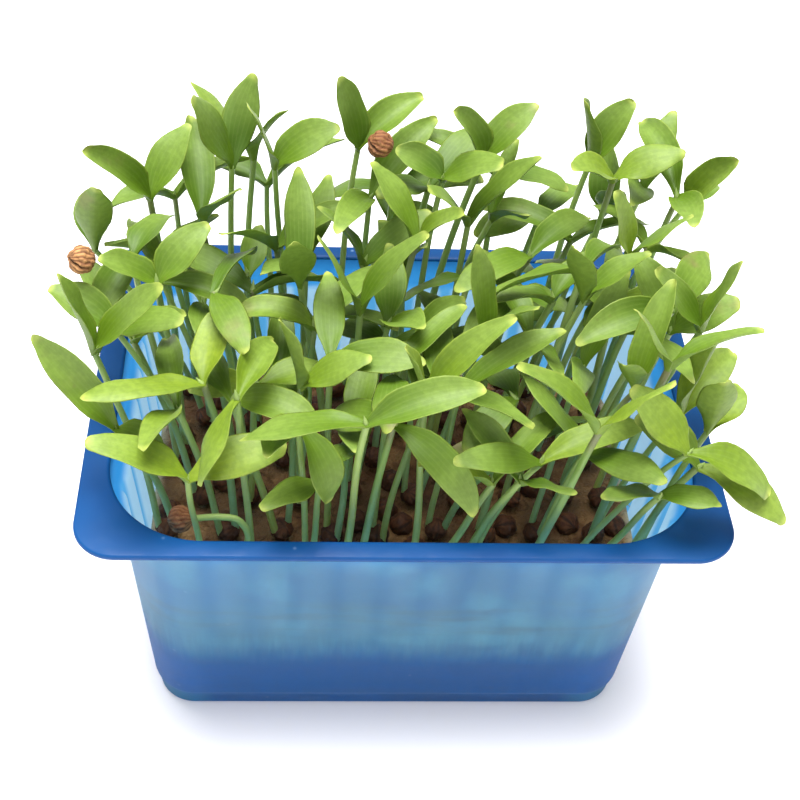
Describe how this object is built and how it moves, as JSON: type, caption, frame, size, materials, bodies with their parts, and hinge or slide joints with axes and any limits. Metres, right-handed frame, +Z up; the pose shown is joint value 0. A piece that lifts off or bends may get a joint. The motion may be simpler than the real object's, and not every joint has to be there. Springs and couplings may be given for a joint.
{
  "type": "tray of coriander microgreens",
  "caption": "Small translucent blue tray of young coriander seedlings growing upright from a fibre pad covered with dark seed husks.",
  "frame": {"origin": "centre of the tray's flat base, on the surface that it stands on", "axes": "+Z up out of the tray, X along its long side, -Y towards the long side that is its front"},
  "size_m": [0.108, 0.0709, 0.096],
  "materials": {
    "tray_plastic": "translucent satin",
    "fibre_and_husks": "matte",
    "seedling": "satin",
    "late_sprout": "satin",
    "dry_husk": "matte"
  },
  "bodies": {
    "root": {"tray": "tray_plastic", "fibre_pad": "fibre_and_husks", "seedling_pair_01": "seedling", "seedling_pair_02": "seedling", "seedling_pair_03": "seedling", "seedling_pair_04": "seedling", "seedling_pair_05": "seedling", "seedling_pair_06": "seedling", "seedling_pair_07": "seedling", "seedling_pair_08": "seedling", "seedling_pair_09": "seedling", "seedling_pair_10": "seedling", "seedling_pair_11": "seedling", "seedling_pair_12": "seedling", "seedling_pair_13": "seedling", "seedling_pair_14": "seedling", "seedling_pair_15": "seedling", "seedling_pair_16": "seedling", "seedling_pair_17": "seedling", "seedling_pair_18": "seedling", "seedling_pair_19": "seedling", "seedling_pair_20": "seedling", "seedling_pair_21": "seedling", "seedling_pair_22": "seedling", "seedling_pair_23": "seedling", "seedling_pair_24": "seedling", "seedling_pair_25": "seedling", "seedling_pair_26": "seedling", "seedling_pair_27": "seedling", "seedling_pair_28": "seedling", "seedling_pair_29": "seedling", "seedling_pair_30": "seedling", "seedling_pair_31": "seedling", "seedling_pair_32": "seedling", "seedling_pair_33": "seedling", "seedling_pair_34": "seedling", "seedling_pair_35": "seedling", "seedling_pair_36": "seedling", "seedling_pair_37": "seedling", "seedling_pair_38": "seedling", "seedling_pair_39": "seedling", "seedling_pair_40": "seedling", "seedling_pair_41": "seedling", "seedling_pair_42": "seedling", "seedling_pair_43": "seedling", "seedling_pair_44": "seedling", "seedling_pair_45": "seedling", "seedling_pair_46": "seedling", "seedling_pair_47": "seedling", "seedling_pair_48": "seedling", "seedling_pair_49": "seedling", "seedling_pair_50": "seedling", "seedling_pair_51": "seedling", "seedling_pair_52": "seedling", "seedling_pair_53": "seedling", "seedling_pair_54": "seedling", "late_sprout": "late_sprout", "raised_husk_1": "dry_husk", "raised_husk_2": "dry_husk", "raised_husk_3": "dry_husk"}
  },
  "joints": []
}
